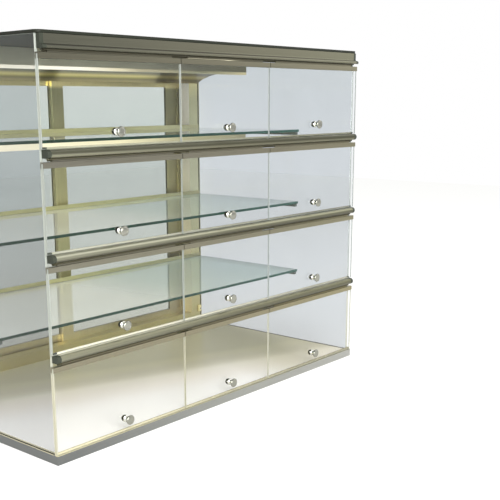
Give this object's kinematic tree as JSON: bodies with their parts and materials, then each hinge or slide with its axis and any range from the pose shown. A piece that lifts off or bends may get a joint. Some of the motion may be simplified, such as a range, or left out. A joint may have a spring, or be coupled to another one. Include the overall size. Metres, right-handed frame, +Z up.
{
  "type": "bakery display case",
  "caption": "Free-standing glass display case with tiers of flip-up front doors, glass shelves, lit canopy and rear sliding doors.",
  "frame": {"origin": "middle of the footprint of the whole case, knobs included, on the underside of the base frame", "axes": "+X to the right as seen by a customer at the front, +Y from the front doors to the sliding doors at the back, +Z up"},
  "size_m": [1.27, 0.782, 1.0143],
  "materials": {
    "rail_aluminium": "bronze-tinted anodised extrusion, satin",
    "hinge_rail_aluminium": "bronze-tinted anodised extrusion, satin",
    "base_aluminium": "brushed, satin",
    "rear_frame_aluminium": "champagne anodised extrusion, satin",
    "soffit_metal": "satin enamel",
    "knob_chrome": "polished",
    "clear_glass": "polished toughened glass",
    "shelf_glass": "polished toughened glass with green edges",
    "lamp_diffuser": "opal acrylic, lit",
    "deck_laminate": "glossy white laminate",
    "roof_panel": "black powder-coated sheet, rounded front corners"
  },
  "bodies": {
    "root": {"base_frame": "base_aluminium", "deck_panel": "deck_laminate", "side_glass_left": "clear_glass", "side_glass_right": "clear_glass", "front_fascia": "rail_aluminium", "front_rail_2": "rail_aluminium", "front_rail_3": "rail_aluminium", "front_rail_4": "rail_aluminium", "rear_frame": "rear_frame_aluminium", "shelf_1_glass": "shelf_glass", "shelf_1_carrier": "rear_frame_aluminium", "shelf_2_glass": "shelf_glass", "shelf_2_carrier": "rear_frame_aluminium", "shelf_3_glass": "shelf_glass", "shelf_3_carrier": "rear_frame_aluminium", "light_soffit": "soffit_metal", "top_lamp_diffuser": "lamp_diffuser", "shelf_lamp_tray": "soffit_metal", "shelf_lamp_diffuser": "lamp_diffuser", "top_panel": "roof_panel"},
    "door_1_left": {"door_1_left_glass": "clear_glass", "door_1_left_hinge_rail": "hinge_rail_aluminium", "door_1_left_knob": "knob_chrome"},
    "door_1_middle": {"door_1_middle_glass": "clear_glass", "door_1_middle_hinge_rail": "hinge_rail_aluminium", "door_1_middle_knob": "knob_chrome"},
    "door_1_right": {"door_1_right_glass": "clear_glass", "door_1_right_hinge_rail": "hinge_rail_aluminium", "door_1_right_knob": "knob_chrome"},
    "door_2_left": {"door_2_left_glass": "clear_glass", "door_2_left_hinge_rail": "hinge_rail_aluminium", "door_2_left_knob": "knob_chrome"},
    "door_2_middle": {"door_2_middle_glass": "clear_glass", "door_2_middle_hinge_rail": "hinge_rail_aluminium", "door_2_middle_knob": "knob_chrome"},
    "door_2_right": {"door_2_right_glass": "clear_glass", "door_2_right_hinge_rail": "hinge_rail_aluminium", "door_2_right_knob": "knob_chrome"},
    "door_3_left": {"door_3_left_glass": "clear_glass", "door_3_left_hinge_rail": "hinge_rail_aluminium", "door_3_left_knob": "knob_chrome"},
    "door_3_middle": {"door_3_middle_glass": "clear_glass", "door_3_middle_hinge_rail": "hinge_rail_aluminium", "door_3_middle_knob": "knob_chrome"},
    "door_3_right": {"door_3_right_glass": "clear_glass", "door_3_right_hinge_rail": "hinge_rail_aluminium", "door_3_right_knob": "knob_chrome"},
    "door_4_left": {"door_4_left_glass": "clear_glass", "door_4_left_hinge_rail": "hinge_rail_aluminium", "door_4_left_knob": "knob_chrome"},
    "door_4_middle": {"door_4_middle_glass": "clear_glass", "door_4_middle_hinge_rail": "hinge_rail_aluminium", "door_4_middle_knob": "knob_chrome"},
    "door_4_right": {"door_4_right_glass": "clear_glass", "door_4_right_hinge_rail": "hinge_rail_aluminium", "door_4_right_knob": "knob_chrome"},
    "rear_door_left": {"rear_door_left_frame": "rear_frame_aluminium", "rear_door_left_glass": "clear_glass"},
    "rear_door_right": {"rear_door_right_frame": "rear_frame_aluminium", "rear_door_right_glass": "clear_glass"}
  },
  "joints": [
    {"name": "door_1_left_hinge", "type": "hinge", "parent": "root", "child": "door_1_left", "pos_m": [-0.4095, -0.368, 0.971], "axis": [-1, 0, 0], "range_deg": [0, 60]},
    {"name": "door_1_middle_hinge", "type": "hinge", "parent": "root", "child": "door_1_middle", "pos_m": [0, -0.368, 0.971], "axis": [-1, 0, 0], "range_deg": [0, 60]},
    {"name": "door_1_right_hinge", "type": "hinge", "parent": "root", "child": "door_1_right", "pos_m": [0.4095, -0.368, 0.971], "axis": [-1, 0, 0], "range_deg": [0, 60]},
    {"name": "door_2_left_hinge", "type": "hinge", "parent": "root", "child": "door_2_left", "pos_m": [-0.4095, -0.368, 0.731], "axis": [-1, 0, 0], "range_deg": [0, 60]},
    {"name": "door_2_middle_hinge", "type": "hinge", "parent": "root", "child": "door_2_middle", "pos_m": [0, -0.368, 0.731], "axis": [-1, 0, 0], "range_deg": [0, 60]},
    {"name": "door_2_right_hinge", "type": "hinge", "parent": "root", "child": "door_2_right", "pos_m": [0.4095, -0.368, 0.731], "axis": [-1, 0, 0], "range_deg": [0, 60]},
    {"name": "door_3_left_hinge", "type": "hinge", "parent": "root", "child": "door_3_left", "pos_m": [-0.4095, -0.368, 0.491], "axis": [-1, 0, 0], "range_deg": [0, 60]},
    {"name": "door_3_middle_hinge", "type": "hinge", "parent": "root", "child": "door_3_middle", "pos_m": [0, -0.368, 0.491], "axis": [-1, 0, 0], "range_deg": [0, 60]},
    {"name": "door_3_right_hinge", "type": "hinge", "parent": "root", "child": "door_3_right", "pos_m": [0.4095, -0.368, 0.491], "axis": [-1, 0, 0], "range_deg": [0, 60]},
    {"name": "door_4_left_hinge", "type": "hinge", "parent": "root", "child": "door_4_left", "pos_m": [-0.4095, -0.368, 0.251], "axis": [-1, 0, 0], "range_deg": [0, 60]},
    {"name": "door_4_middle_hinge", "type": "hinge", "parent": "root", "child": "door_4_middle", "pos_m": [0, -0.368, 0.251], "axis": [-1, 0, 0], "range_deg": [0, 60]},
    {"name": "door_4_right_hinge", "type": "hinge", "parent": "root", "child": "door_4_right", "pos_m": [0.4095, -0.368, 0.251], "axis": [-1, 0, 0], "range_deg": [0, 60]},
    {"name": "rear_door_left_slide", "type": "slide", "parent": "root", "child": "rear_door_left", "axis": [1, 0, 0], "range_m": [0, 0.552]},
    {"name": "rear_door_right_slide", "type": "slide", "parent": "root", "child": "rear_door_right", "axis": [1, 0, 0], "range_m": [-0.552, 0]}
  ]
}
